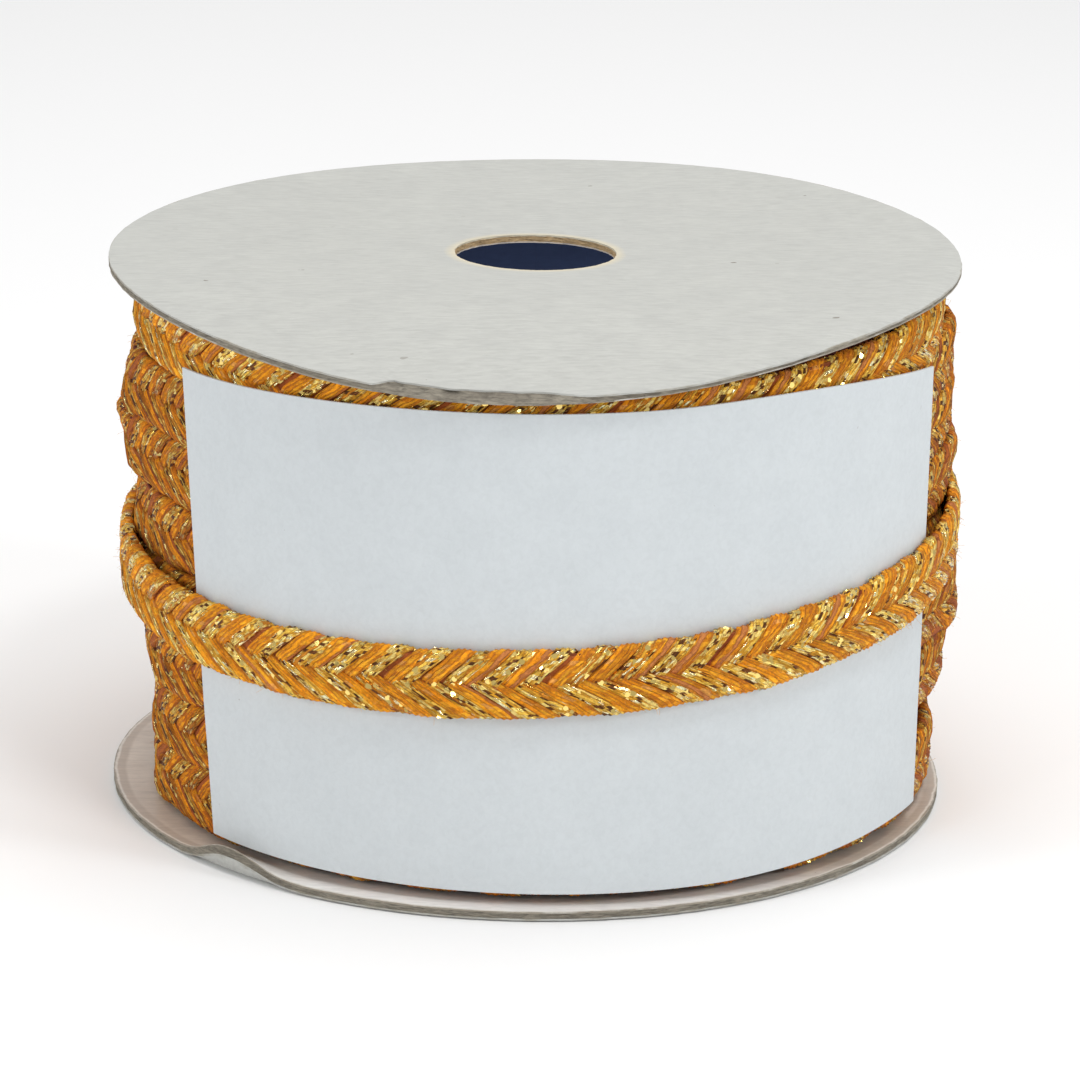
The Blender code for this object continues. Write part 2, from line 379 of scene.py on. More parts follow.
def die_cut_disc(name, low, thickness, plies, radii, wear, material):
    """A round sheet with a hole: a circle extruded outwards ring by ring, then upwards ply by
    ply. wear is how far its cut edges stray from true. Gives the disc and each vertex's ply."""
    deselect()
    bpy.ops.mesh.primitive_circle_add(vertices=RIM_POINTS, radius=HOLE_RADIUS, location=(0, 0, 0))
    disc = bpy.context.object
    disc.name = name
    bpy.ops.object.mode_set(mode="EDIT")
    bpy.ops.mesh.select_all(action="SELECT")
    reach = HOLE_RADIUS
    for radius in radii:
        bpy.ops.mesh.extrude_edges_move()
        bpy.ops.transform.resize(value=(radius / reach, radius / reach, 1.0))
        reach = radius
    bpy.ops.mesh.select_all(action="SELECT")
    for _ in range(plies):
        bpy.ops.mesh.extrude_region_move(TRANSFORM_OT_translate={"value": (0, 0, thickness / plies)})
    bpy.ops.mesh.select_all(action="SELECT")
    bpy.ops.mesh.normals_make_consistent(inside=False)
    bpy.ops.object.mode_set(mode="OBJECT")
    bpy.ops.object.shade_smooth_by_angle(angle=math.radians(50.0))
    heights = {}
    for vert in disc.data.vertices:
        radius = vert.co.xy.length
        turn = math.atan2(vert.co.y, vert.co.x)
        ply = round(vert.co.z / thickness * plies)
        heights[vert.index] = ply / plies
        if radius > FLANGE_RADIUS - 0.1 * MM:
            stray = ripple(turn, ply + 1, 30.0) + 0.6 * ripple(turn, ply + 5, 110.0)
            vert.co.xy *= 1.0 + wear * (stray - 0.5) / radius
        elif radius < HOLE_RADIUS + 0.1 * MM:
            stray = ripple(turn, ply + 3, 8.0) + 0.9 * ripple(turn, ply + 9, 30.0)
            vert.co.xy *= 1.0 + 1.6 * wear * (stray + 0.3) / radius
        vert.co.z += low
    disc.data.materials.append(material)
    return disc, heights


BOTTOM_RINGS = [ring * MM for ring in (20, 30, 38, 44, 46, 47.5, 49, 50.2)] + [FLANGE_RADIUS]
level = 0.0
for part, thick, plies, wear, finish, slot in LAMINATE:
    sheet, heights = die_cut_disc(
        f"bottom_flange_{part}_sheet", level, thick * MM, plies, BOTTOM_RINGS, wear * MM, finish
    )
    hangs = part == "outer_liner"
    for vert in sheet.data.vertices:
        radius = vert.co.xy.length
        outward = max(0.0, (radius - CRUSH_FROM) / (FLANGE_RADIUS - CRUSH_FROM))
        aside = math.remainder(math.atan2(vert.co.x, -vert.co.y) - CRUSH_AT, 2 * math.pi)
        crush_reach = CRUSH_REACH_RIGHT if aside > 0.0 else CRUSH_REACH_LEFT
        bend = math.exp(-abs(aside / crush_reach) ** 2.4)
        crumple = 0.16 * MM * ripple(aside, 21.0, 18.0) * bend
        at_rim = radius > 50.6 * MM
        follow = 0.30 if hangs and not at_rim else 1.0  # the loose paper hangs below the board
        split = {"outer_liner": 0.0, "board": heights[vert.index], "inner_liner": 1.0}[part]
        split *= CRUSH_SWELL * bend * min(1.0, outward) ** 4
        if hangs and 50.0 * MM < radius < 50.6 * MM:
            vert.co.xy *= 1.0 + 0.011 * bend
        soft = 0.12 * MM * ripple(aside, 3.0, 5.0) * min(1.0, outward)
        vert.co.z += (CRUSH_RISE * bend + crumple) * outward**2 * follow + max(0.0, soft) + split
    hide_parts(f"bottom_flange_{part}")
    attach(sheet, "spool")
    level += thick * MM


# ---------------------------------------------------------------------------------------------
# Top flange
# The same laminate, glued flat over the tube but curling towards its rim: down at the front and
# up at the back. The front of its edge is worn back to a slope that shows the board's plies.

HUB_RADIUS = 22.0 * MM
WARP_RINGS = [ring * MM for ring in (16, 22, 26, 30, 34, 38, 42, 45, 47, 49, 50.3)] + [FLANGE_RADIUS]
# The warp of the rim, in mm: waves of once, twice, three and four times round, as (cosine, sine).
RIM_WAVES = ((0.6, 2.4), (1.1, -0.1), (-0.2, -0.6), (-0.3, 0.0))
RIM_DROP = -0.5
# Degrees round from the front, to the right: the worn stretch and the stretch that is rolled down.
WORN_FROM, WORN_TO = -20.5, 9.0
ROLLED_FROM, ROLLED_TO = 8.0, 110.0
WORN_DEPTH = 2.1 * MM
ROLLED_DEPTH = 0.36 * MM


def rim_lift(turn):
    lift = RIM_DROP
    for times, (cosine, sine) in enumerate(RIM_WAVES, start=1):
        lift += cosine * math.cos(times * turn) + sine * math.sin(times * turn)
    return lift * MM


def smooth_step(value):
    """A value from 0 to 1, eased at both ends."""
    value = min(1.0, max(0.0, value))
    return value * value * (3.0 - 2.0 * value)


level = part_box("core_tube_outer_ply")[1].z + 0.5 * MM + FLANGE
for part, thick, plies, wear, finish, slot in LAMINATE:
    level -= thick * MM
    sheet, heights = die_cut_disc(
        f"top_flange_{part}_sheet", level, thick * MM, plies, WARP_RINGS, wear * MM, finish
    )
    for vert in sheet.data.vertices:
        radius = vert.co.xy.length
        turn = math.atan2(vert.co.y, vert.co.x)
        facing = math.degrees(math.atan2(vert.co.x, -vert.co.y))
        curl = max(0.0, (radius - HUB_RADIUS) / (FLANGE_RADIUS - HUB_RADIUS))
        vert.co.z += rim_lift(turn) * curl**2
        worn = smooth_step((facing - WORN_FROM) / 2.5) * smooth_step((WORN_TO - facing) / 9.0)
        depth = {"outer_liner": 1.0, "board": heights[vert.index], "inner_liner": 0.30}[part]
        grind = worn * depth * WORN_DEPTH * (1.0 + 0.25 * ripple(turn, 2.0 + 3.0 * depth, 25.0))
        outward = max(0.0, (radius - 45.0 * MM) / (6.0 * MM))
        vert.co.xy *= 1.0 - grind * outward / radius
        vert.co.z += 0.25 * MM * worn * outward**2 * depth
        rolled = smooth_step((facing - ROLLED_FROM) / 12.0) * smooth_step((ROLLED_TO - facing) / 30.0)
        rolled *= ROLLED_DEPTH * smooth_step((radius - 49.8 * MM) / (1.2 * MM))
        vert.co.z -= rolled * depth
        if part == "inner_liner":
            vert.co.z += 0.12 * MM * smooth_step((radius - 49.6 * MM) / (1.4 * MM)) * (1.0 - worn)
    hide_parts(f"top_flange_{part}")
    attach(sheet, "spool")


# ---------------------------------------------------------------------------------------------
# Plait
# The braid is one continuous flat plait, 8.4 mm wide: matte orange yarn bundles alternate with
# bundles of glittering gold yarn. Each runs from under the middle of the plait out to one edge
# and round it. A short repeat is made here, and the ways to lay it, paint shade on it and fray it.

WINDING_OFFSET = 1.1 * MM
PITCH = 2.3 * MM
LABEL_MIDDLE = 4.0  # degrees round from the front
ROUTE_POINTS = 96
BUNDLE_HEIGHT = 0.84
BUNDLE_OVERLAP = 1.16
REPEAT_PAIRS = 8
REPEAT_LENGTH = REPEAT_PAIRS * PITCH
# Each route runs from the middle of the plait to its edge, as (along, across, out) in mm.
UPPER_ROUTE = (
    (-0.2, -0.65, -0.50), (0.6, 0.0, 0.08), (1.3, 0.7, 0.36), (2.3, 1.6, 0.45),
    (3.4, 2.5, 0.43), (4.2, 3.2, 0.28), (4.75, 3.62, -0.06), (5.1, 3.68, -0.42), (5.6, 3.2, -0.70),
)
LOWER_ROUTE = (
    (-0.3, 1.15, -0.50), (0.9, 0.48, 0.08), (2.1, -0.15, 0.36), (3.7, -1.0, 0.45),
    (5.5, -2.1, 0.43), (6.7, -3.05, 0.28), (7.4, -3.58, -0.06), (7.8, -3.66, -0.42), (8.3, -3.2, -0.70),
)
# The section of a bundle, pressed to four ridges: (across, out), each from -1 to 1.
BUNDLE_SECTION = (
    (1.0, -0.35), (0.80, 0.66), (0.52, 0.44), (0.27, 0.92), (0.0, 0.66), (-0.27, 1.0),
    (-0.52, 0.60), (-0.80, 0.86), (-1.0, -0.2), (-0.5, -1.0), (0.5, -1.0),
)


def yarn_bundle(name, route, other_way, overlap, height, row, material):
    """One bundle of yarns: a bar cut into stations, its section set out along the plait at the
    edge and along the other half's bundles in the middle. Its UV counts along in U, across in V."""
    deselect()
    bpy.ops.mesh.primitive_cylinder_add(vertices=len(BUNDLE_SECTION), radius=1.0, depth=1.0)
    bundle = bpy.context.object
    bundle.name = name
    mesh = bundle.data
    bpy.ops.object.mode_set(mode="EDIT")
    bpy.ops.mesh.select_mode(type="EDGE")
    bpy.ops.mesh.select_all(action="DESELECT")
    bpy.ops.object.mode_set(mode="OBJECT")
    for edge in mesh.edges:
        low, high = (mesh.vertices[index].co.z for index in edge.vertices)
        edge.select = abs(low - high) > 0.5
    bpy.ops.object.mode_set(mode="EDIT")
    bpy.ops.mesh.subdivide(number_cuts=len(route) - 2)
    bpy.ops.object.mode_set(mode="OBJECT")
    points = np.array(route)
    profile = np.gradient(points[:, 1:], axis=0)
    profile /= np.linalg.norm(profile, axis=1)[:, None]
    way = Vector(points[5, :2] - points[1, :2]).normalized()
    other = Vector(other_way).normalized()
    places = {}
    for vert in mesh.vertices:
        station = round((vert.co.z + 0.5) * (len(route) - 1))
        corner = round(math.atan2(vert.co.y, vert.co.x) / (2 * math.pi) * len(BUNDLE_SECTION))
        aside, out = BUNDLE_SECTION[corner % len(BUNDLE_SECTION)]
        share = min(1.0, station / 4.0)
        section = other.lerp(Vector((1.0, 0.0)), share).normalized()
        reach = overlap * PITCH / MM / 2 * abs(way.y) / abs(section.cross(way))
        across_step, out_step = profile[station]
        facing = math.copysign(1.0, way.y)
        normal = Vector((-out_step * facing, across_step * facing)) * out * height / 2
        spot = Vector(points[station])
        spot.x += section.x * aside * reach
        spot.y += section.y * aside * reach + normal.x
        spot.z += normal.y + 0.10 * aside
        places[vert.index] = (station / (len(route) - 1), 0.5 + 0.46 * aside)
        vert.co = Vector((spot.x, -spot.z, spot.y)) * MM
    chart = mesh.uv_layers.active or mesh.uv_layers.new()
    chart.name = "yarn"
    for loop in mesh.loops:
        along, across = places[loop.vertex_index]
        chart.data[loop.index].uv = (0.02 + 0.96 * along, row + across)
    bpy.ops.object.mode_set(mode="EDIT")
    bpy.ops.mesh.select_all(action="SELECT")
    bpy.ops.mesh.normals_make_consistent(inside=False)
    bpy.ops.object.mode_set(mode="OBJECT")
    bpy.ops.object.shade_smooth()
    mesh.materials.append(material)
    return bundle


YARN_PATTERN = bpy.data.node_groups.new("Yarn bundle", "ShaderNodeTree")


def build_yarn_pattern(tree):
    """From the bundle's UV: chance values for each bundle, yarn and dash, its grooves, edges and
    height, and a facet's tilt for each dash. From the place: lint, and flat specks with theirs."""
    group_socket(tree, "Yarns", "INPUT", "Float", 5.0)
    group_socket(tree, "Dashes", "INPUT", "Float", 10.0)
    for name in ("Bundle", "Yarn", "Dash", "Groove", "Edge", "Lint", "Height"):
        group_socket(tree, name, "OUTPUT", "Float")
    group_socket(tree, "Sequin", "OUTPUT", "Float")
    group_socket(tree, "Facet", "OUTPUT", "Vector")
    group_socket(tree, "Tip", "OUTPUT", "Vector")
    inside = node(tree, "NodeGroupInput")
    outside = node(tree, "NodeGroupOutput")
    chart = node(tree, "UVMap", uv_map="yarn")
    split = node(tree, "SeparateXYZ")
    tree.links.new(chart.outputs["UV"], split.inputs["Vector"])
    along, across = split.outputs["X"], split.outputs["Y"]
    turn_index = maths(tree, "FLOOR", along)
    row_index = maths(tree, "FLOOR", across)
    run = maths(tree, "FRACT", along)
    span = maths(tree, "FRACT", across)
    identity = node(tree, "CombineXYZ")
    tree.links.new(turn_index, identity.inputs["X"])
    tree.links.new(row_index, identity.inputs["Y"])
    bundle = node(tree, "TexWhiteNoise", noise_dimensions="3D")
    tree.links.new(identity.outputs["Vector"], bundle.inputs["Vector"])
    wobble = node(tree, "TexNoise", noise_dimensions="2D")
    wobble.inputs["Scale"].default_value = 6.0
    tree.links.new(chart.outputs["UV"], wobble.inputs["Vector"])
    strayed = maths(tree, "MULTIPLY_ADD", wobble.outputs["Fac"], 0.34, span)
    yarn_place = maths(tree, "MULTIPLY", strayed, inside.outputs["Yarns"])
    yarn_index = maths(tree, "FLOOR", yarn_place)
    crest = maths(tree, "SINE", maths(tree, "MULTIPLY", maths(tree, "FRACT", yarn_place), math.pi))
    tree.links.new(yarn_index, identity.inputs["Z"])
    yarn = node(tree, "TexWhiteNoise", noise_dimensions="3D")
    tree.links.new(identity.outputs["Vector"], yarn.inputs["Vector"])
    dash_start = maths(tree, "MULTIPLY", yarn.outputs["Value"], 9.0)
    dash_place = maths(tree, "MULTIPLY_ADD", run, inside.outputs["Dashes"], dash_start)
    dash_seed = node(tree, "VectorMath", operation="ADD")
    tree.links.new(identity.outputs["Vector"], dash_seed.inputs[0])
    dash_shift = node(tree, "CombineXYZ")
    tree.links.new(maths(tree, "MULTIPLY", maths(tree, "FLOOR", dash_place), 0.137), dash_shift.inputs["X"])
    tree.links.new(dash_shift.outputs["Vector"], dash_seed.inputs[1])
    dash = node(tree, "TexWhiteNoise", noise_dimensions="3D")
    tree.links.new(dash_seed.outputs["Vector"], dash.inputs["Vector"])
    from_middle = maths(tree, "ABSOLUTE", maths(tree, "SUBTRACT", span, 0.5))
    past_side = maths(tree, "MULTIPLY", maths(tree, "SUBTRACT", from_middle, 0.37), 9.0)
    before_end = maths(tree, "MULTIPLY", maths(tree, "SUBTRACT", 0.24, run), 5.0)
    side_edge = maths(tree, "SMOOTH_MAX", past_side, 0.0, 0.1)
    end_edge = maths(tree, "SMOOTH_MAX", before_end, 0.0, 0.1)
    edge = maths(tree, "MINIMUM", maths(tree, "ADD", side_edge, end_edge), 1.0)
    point = node(tree, "TexCoord").outputs["Object"]
    lint = texture_noise(tree, point, 2400.0, 4.0, 0.7, 0.8)
    sequins = node(tree, "TexVoronoi")
    sequins.inputs["Scale"].default_value = 1350.0
    tree.links.new(point, sequins.inputs["Vector"])
    parts = node(tree, "SeparateColor")
    tree.links.new(sequins.outputs["Color"], parts.inputs["Color"])
    outlying = maths(tree, "GREATER_THAN", sequins.outputs["Distance"], 0.46)
    outward = node(tree, "VectorMath", operation="MULTIPLY")
    tree.links.new(point, outward.inputs[0])
    outward.inputs[1].default_value = (1.0, 1.0, 0.0)
    facing_out = node(tree, "VectorMath", operation="NORMALIZE")
    tree.links.new(outward.outputs["Vector"], facing_out.inputs[0])
    tip = node(tree, "VectorMath", operation="MULTIPLY_ADD")
    tree.links.new(sequins.outputs["Color"], tip.inputs[0])
    tip.inputs[1].default_value = (0.8, 0.8, 0.8)
    tree.links.new(facing_out.outputs["Vector"], tip.inputs[2])
    level = node(tree, "VectorMath", operation="SUBTRACT")
    tree.links.new(tip.outputs["Vector"], level.inputs[0])
    level.inputs[1].default_value = (0.4, 0.4, 0.06)
    facet = node(tree, "VectorMath", operation="SUBTRACT")
    tree.links.new(dash.outputs["Color"], facet.inputs[0])
    facet.inputs[1].default_value = (0.5, 0.5, 0.5)
    for name, value in (
        ("Bundle", bundle.outputs["Value"]),
        ("Yarn", yarn.outputs["Value"]),
        ("Dash", dash.outputs["Value"]),
        ("Groove", maths(tree, "SUBTRACT", 1.0, crest)),
        ("Edge", edge),
        ("Lint", lint),
        ("Height", maths(tree, "MULTIPLY_ADD", lint, 0.9, crest)),
        ("Sequin", maths(tree, "ADD", parts.outputs["Red"], outlying)),
        ("Facet", facet.outputs["Vector"]),
        ("Tip", level.outputs["Vector"]),
    ):
        tree.links.new(value, outside.inputs[name])


build_yarn_pattern(YARN_PATTERN)


def yarn_finish(name, yarns, dashes, shine, tones, stray, crevice_shade, relief, scatter, sequins=0.0):
    """tones are (place, colour) stops that each dash of yarn picks from by chance; stray is the
    share of yarns of another colour, and that colour. shine is the roughness and metallic share
    of plain dashes, and then of the few that glint; sequins is the share of flat bright specks."""
    material, shader = principled(name, shine[0], shine[1], specular=0.25)
    tree = material.node_tree
    pattern = node(tree, "Group", node_tree=YARN_PATTERN)
    pattern.inputs["Yarns"].default_value = yarns
    pattern.inputs["Dashes"].default_value = dashes
    picked = ramp(tree, pattern.outputs["Dash"], tones)
    picked.node.color_ramp.interpolation = "CONSTANT"
    picked = blend(tree, maths(tree, "LESS_THAN", pattern.outputs["Yarn"], stray[0]), picked, stray[1])
    shade = maths(tree, "MULTIPLY_ADD", pattern.outputs["Bundle"], 0.28, 0.77)
    shade = maths(tree, "MULTIPLY_ADD", pattern.outputs["Yarn"], 0.16, shade)
    shade = maths(tree, "MULTIPLY", shade, maths(tree, "MULTIPLY_ADD", pattern.outputs["Lint"], 1.9, 0.12))
    bright = node(tree, "CombineXYZ")
    for axis in ("X", "Y", "Z"):
        tree.links.new(shade, bright.inputs[axis])
    toned = blend(tree, 1.0, picked, bright.outputs["Vector"], "MULTIPLY")
    # Painted shade: the grooves between yarns and the borders and tucked ends of each bundle are darkened
    # towards the crevice colour.
    grooved = blend(tree, maths(tree, "MULTIPLY", pattern.outputs["Groove"], 0.6), toned, crevice_shade)
    edged = blend(tree, maths(tree, "MULTIPLY", pattern.outputs["Edge"], 0.66), grooved, crevice_shade)
    speck = maths(tree, "LESS_THAN", pattern.outputs["Sequin"], sequins)
    tree.links.new(blend(tree, speck, edged, (1.0, 0.74, 0.24)), shader.inputs["Base Color"])
    glint = maths(tree, "MAXIMUM", maths(tree, "GREATER_THAN", pattern.outputs["Dash"], 0.88), speck)
    for socket, plain, bright in (("Roughness", shine[0], shine[2]), ("Metallic", shine[1], shine[3])):
        tree.links.new(maths(tree, "MULTIPLY_ADD", glint, bright - plain, plain), shader.inputs[socket])
    bump = node(tree, "Bump")
    bump.inputs["Strength"].default_value = relief
    bump.inputs["Distance"].default_value = 0.12 * MM
    tree.links.new(pattern.outputs["Height"], bump.inputs["Height"])
    tilt = node(tree, "VectorMath", operation="SCALE")
    tree.links.new(pattern.outputs["Facet"], tilt.inputs[0])
    tilt.inputs["Scale"].default_value = scatter
    tipped = node(tree, "VectorMath", operation="ADD")
    tree.links.new(bump.outputs["Normal"], tipped.inputs[0])
    tree.links.new(tilt.outputs["Vector"], tipped.inputs[1])
    chosen = node(tree, "Mix", data_type="VECTOR")
    tree.links.new(speck, chosen.inputs[0])
    tree.links.new(tipped.outputs["Vector"], chosen.inputs[4])
    tree.links.new(pattern.outputs["Tip"], chosen.inputs[5])
    unit = node(tree, "VectorMath", operation="NORMALIZE")
    tree.links.new(chosen.outputs[1], unit.inputs[0])
    tree.links.new(unit.outputs["Vector"], shader.inputs["Normal"])
    return material


orange_yarn = yarn_finish(
    "orange yarn", 4.0, 14.0, shine=(0.8, 0.0, 0.7, 0.0),
    tones=(
        (0.0, (0.74, 0.25, 0.006)), (0.35, (0.86, 0.33, 0.010)),
        (0.75, (0.95, 0.42, 0.02)), (0.95, (0.82, 0.36, 0.07)),
    ),
    stray=(0.07, (0.72, 0.26, 0.07)), crevice_shade=(0.36, 0.085, 0.022), relief=1.0, scatter=0.25,
)
gold_yarn = yarn_finish(
    "gold yarn", 7.0, 18.0, shine=(0.42, 0.35, 0.12, 1.0),
    # The darkest and palest dash tones are partly the yarn's own and partly painted reflection: dark and
    # bright flecks for what the lurex's facets mirror.
    tones=(
        (0.0, (0.09, 0.035, 0.008)), (0.15, (0.68, 0.34, 0.025)), (0.38, (0.90, 0.56, 0.08)),
        (0.66, (0.98, 0.74, 0.22)), (0.90, (1.0, 0.88, 0.50)),
    ),
    stray=(0.10, (0.80, 0.30, 0.02)), crevice_shade=(0.36, 0.10, 0.02), relief=0.8, scatter=0.7, sequins=0.28,
)
# The turns under the last one get painted shade: the same two yarns, deeper and duller.
painted_shade_orange = yarn_finish(
    "orange yarn with painted shade", 4.0, 12.0, shine=(0.85, 0.0, 0.8, 0.0),
    tones=(
        (0.0, (0.56, 0.16, 0.004)), (0.35, (0.70, 0.24, 0.006)),
        (0.75, (0.78, 0.31, 0.012)), (0.93, (0.66, 0.25, 0.05)),
    ),
    stray=(0.16, (0.50, 0.14, 0.03)), crevice_shade=(0.20, 0.040, 0.020), relief=1.0, scatter=0.35,
)
painted_shade_gold = yarn_finish(
    "gold yarn with painted shade", 7.0, 16.0, shine=(0.55, 0.25, 0.2, 0.9),
    # Here too the darkest and palest dash tones are partly painted reflection of the lurex's facets.
    tones=(
        (0.0, (0.08, 0.028, 0.008)), (0.18, (0.55, 0.23, 0.012)), (0.42, (0.72, 0.38, 0.04)),
        (0.72, (0.80, 0.54, 0.12)), (0.93, (0.92, 0.72, 0.30)),
    ),
    stray=(0.30, (0.60, 0.20, 0.01)), crevice_shade=(0.20, 0.045, 0.018), relief=1.0, scatter=0.6, sequins=0.10,
)
# Painted shade: a yarn far darker than the others, for the bed behind the bundles and the drum of buried
# yarn, where only shade shows through the gaps.
painted_shade_yarn = yarn_finish(
    "yarn painted as shade under the plait", 6.0, 9.0, shine=(0.9, 0.0, 0.8, 0.0),
    tones=(
        (0.0, (0.22, 0.05, 0.015)), (0.5, (0.30, 0.08, 0.02)),
        (0.8, (0.16, 0.035, 0.025)), (0.95, (0.4, 0.13, 0.03)),
    ),
    stray=(0.2, (0.2, 0.05, 0.04)), crevice_shade=(0.10, 0.02, 0.012), relief=0.5, scatter=0.2,
)


def plait_repeat(name, pairs, scruff, seed):
    """A short length of plait: pairs of bundles, orange and gold in turn, each a little off."""
    chance = np.random.default_rng(seed)
    made = []
    for index in range(pairs):
        for half, route, other_way in ((0, UPPER_ROUTE, (7.5, -4.6)), (1, LOWER_ROUTE, (4.6, 3.8))):
            gold = (index + half) % 2 == 0
            row = 2 * index + half
            shift = chance.normal(0.0, scruff, 3) * (0.16, 0.09, 0.05)
            laid = [(a + shift[0] + index * PITCH / MM, b + shift[1], c + shift[2]) for a, b, c in route]
            overlap = BUNDLE_OVERLAP * (1.0 + chance.normal(0.0, 0.05))
            finish = gold_yarn if gold else orange_yarn
            made.append(yarn_bundle(f"bundle_{row}", laid, other_way, overlap, BUNDLE_HEIGHT, row, finish))
    deselect()
    for bundle in made:
        bundle.select_set(True)
    bpy.context.view_layer.objects.active = made[0]
    bpy.ops.object.join()
    repeat = bpy.context.object
    repeat.name = name
    return repeat


repeat = plait_repeat("plait_repeat", REPEAT_PAIRS, scruff=1.0, seed=4)
# The bed behind the bundles starts where they cover it, and it is a flat strip of dark yarn:
# painted shade in the gaps between them.
BED_START = 4.5 * MM
BED_HALF_WIDTH = 3.3 * MM
BED_THICKNESS = 0.28 * MM
# Blender seeds its vector noise from the clock, so it is set here: the plait's unevenness is then
# the same each run.
noise.seed_set(5)


def lay_plait(name, route, closed, uneven):
    """Lay the plait along a route of (x, y, z, tilt) points: the repeat is arrayed and bent along
    a curve, left a little uneven and more so beside the label, and a thin flat bed of dark yarn,
    painted shade, closes the gaps behind its bundles."""
    line = bpy.data.curves.new(name + "_line", "CURVE")
    line.dimensions = "3D"
    line.twist_mode = "Z_UP"
    line.resolution_u = 3
    spline = line.splines.new("NURBS")
    spline.points.add(len(route) - 1)
    for point, (x, y, z, tilt) in zip(spline.points, route):
        point.co = (x, y, z, 1.0)
        point.tilt = tilt
    spline.order_u = 4
    spline.use_cyclic_u = closed
    spline.use_endpoint_u = not closed
    guide = bpy.data.objects.new(name + "_guide", line)
    bpy.context.scene.collection.objects.link(guide)
    length = spline.calc_length()
    copies = max(1, round(length / REPEAT_LENGTH))
    deselect()
    plait = repeat.copy()
    plait.data = repeat.data.copy()
    plait.name = name
    bpy.context.scene.collection.objects.link(plait)
    fit = length / copies / REPEAT_LENGTH
    plait.data.transform(Matrix.Diagonal((fit, 1.0, 1.0, 1.0)))
    plait.select_set(True)
    bpy.context.view_layer.objects.active = plait
    run = plait.modifiers.new("run", "ARRAY")
    run.count = copies
    run.use_relative_offset = False
    run.use_constant_offset = True
    run.constant_offset_displace = (length / copies, 0.0, 0.0)
    run.offset_u = 1.0
    bend = plait.modifiers.new("bend", "CURVE")
    bend.object = guide
    bpy.ops.object.modifier_apply(modifier="run")
    bpy.ops.object.modifier_apply(modifier="bend")
    for vert in plait.data.vertices:
        aside = max(0.0, abs(math.degrees(math.atan2(vert.co.x, -vert.co.y)) - LABEL_MIDDLE) - 68.0)
        messy = 1.0 + 0.6 * min(1.0, aside / 12.0)
        vert.co += noise.noise_vector(vert.co / (4.5 * MM)) * uneven * messy
    deselect()
    line.extrude = BED_HALF_WIDTH
    line.bevel_depth = BED_THICKNESS
    line.bevel_resolution = 1
    line.use_fill_caps = True
    if not closed:
        line.bevel_factor_mapping_start = "SPLINE"
        line.bevel_factor_start = BED_START / length
    guide.select_set(True)
    bpy.context.view_layer.objects.active = guide
    bpy.ops.object.convert(target="MESH")
    bed = bpy.context.object
    # The bed takes the dark yarn: painted shade behind the bundles.
    bed.data.materials.clear()
    bed.data.materials.append(painted_shade_yarn)
    chart = bed.data.uv_layers.active or bed.data.uv_layers.new()
    chart.name = "yarn"
    deselect()
    bed.select_set(True)
    plait.select_set(True)
    bpy.context.view_layer.objects.active = plait
    bpy.ops.object.join()
    return plait


def give_painted_shade(plait):
    """Swap the plait's bright yarns for their copies with painted shade."""
    # worn maps each bright yarn to its darker copy, which is painted shade.
    worn = {gold_yarn: painted_shade_gold, orange_yarn: painted_shade_orange}
    for slot in plait.material_slots:
        slot.material = worn.get(slot.material, slot.material)


loose_fibre = paper("loose fibre", (0.85, 0.48, 0.14), (0.60, 0.28, 0.07), (0.3, 0.1, 0.03), 0.8, 0.1)
FIBRE_RADIUS = 0.014 * MM


def fray(plait, count, clear, seed):
    """Loose fibres: short curling hairs standing off chance places on the plait's outer side,
    none within clear degrees of the middle of the label."""
    chance = np.random.default_rng(seed)
    line = bpy.data.curves.new(plait.name + "_fibres", "CURVE")
    line.dimensions = "3D"
    line.bevel_depth = FIBRE_RADIUS
    line.bevel_resolution = 0
    line.resolution_u = 2
    vertices = plait.data.vertices
    middle = np.mean([(vert.co.x - WINDING_OFFSET) ** 2 + vert.co.y**2 for vert in vertices]) ** 0.5
    for index in chance.permutation(len(vertices)):
        root, way = vertices[int(index)].co, vertices[int(index)].normal
        out = Vector((root.x - WINDING_OFFSET, root.y, 0.0))
        aside = abs(math.degrees(math.atan2(root.x, -root.y)) - LABEL_MIDDLE)
        if out.length < middle + 0.1 * MM or aside < clear:
            continue
        out.normalize()
        lean = Vector(chance.normal(0.0, 0.7, 3))
        lean -= out * min(0.0, lean.dot(out))
        away = way - out * min(0.0, way.dot(out))
        reach = chance.uniform(0.2, 0.6) * MM
        spline = line.splines.new("NURBS")
        spline.points.add(3)
        for step, point in enumerate(spline.points):
            point.co = (*(root + (away * step + lean * step**2 / 3.0) * reach / 3.0), 1.0)
        spline.use_endpoint_u = True
        spline.order_u = 3
        if len(line.splines) == count:
            break
    fibres = bpy.data.objects.new(plait.name + "_fibres", line)
    bpy.context.scene.collection.objects.link(fibres)
    deselect()
    fibres.select_set(True)
    bpy.context.view_layer.objects.active = fibres
    bpy.ops.object.convert(target="MESH")
    fibres.data.materials.clear()
    fibres.data.materials.append(loose_fibre)
    plait.select_set(True)
    bpy.context.view_layer.objects.active = plait
    bpy.ops.object.join()


# ---------------------------------------------------------------------------------------------
# Buried layers
# The same braid, wound on the tube from flange to flange. The outer turns hide all but a little
# of it in the gaps behind the label: a drum of packed yarn, and four stretches of its own turns.
# The drum is all dark yarn, painted shade; the stretches carry the yarns with painted shade.

BURIED_RADIUS = 44.6 * MM
BURIED_FROM, BURIED_TO = math.radians(62.0), math.radians(302.0)
# Each stretch's height at the back, and how far it would dip at the front, in mm.
BURIED_TURNS = ((5.0, 0.0), (12.0, 0.0), (54.5, 0.0), (61.0, 5.0))
DRUM_HEIGHT = 60.4 * MM
DRUM_WALL = 20.8 * MM

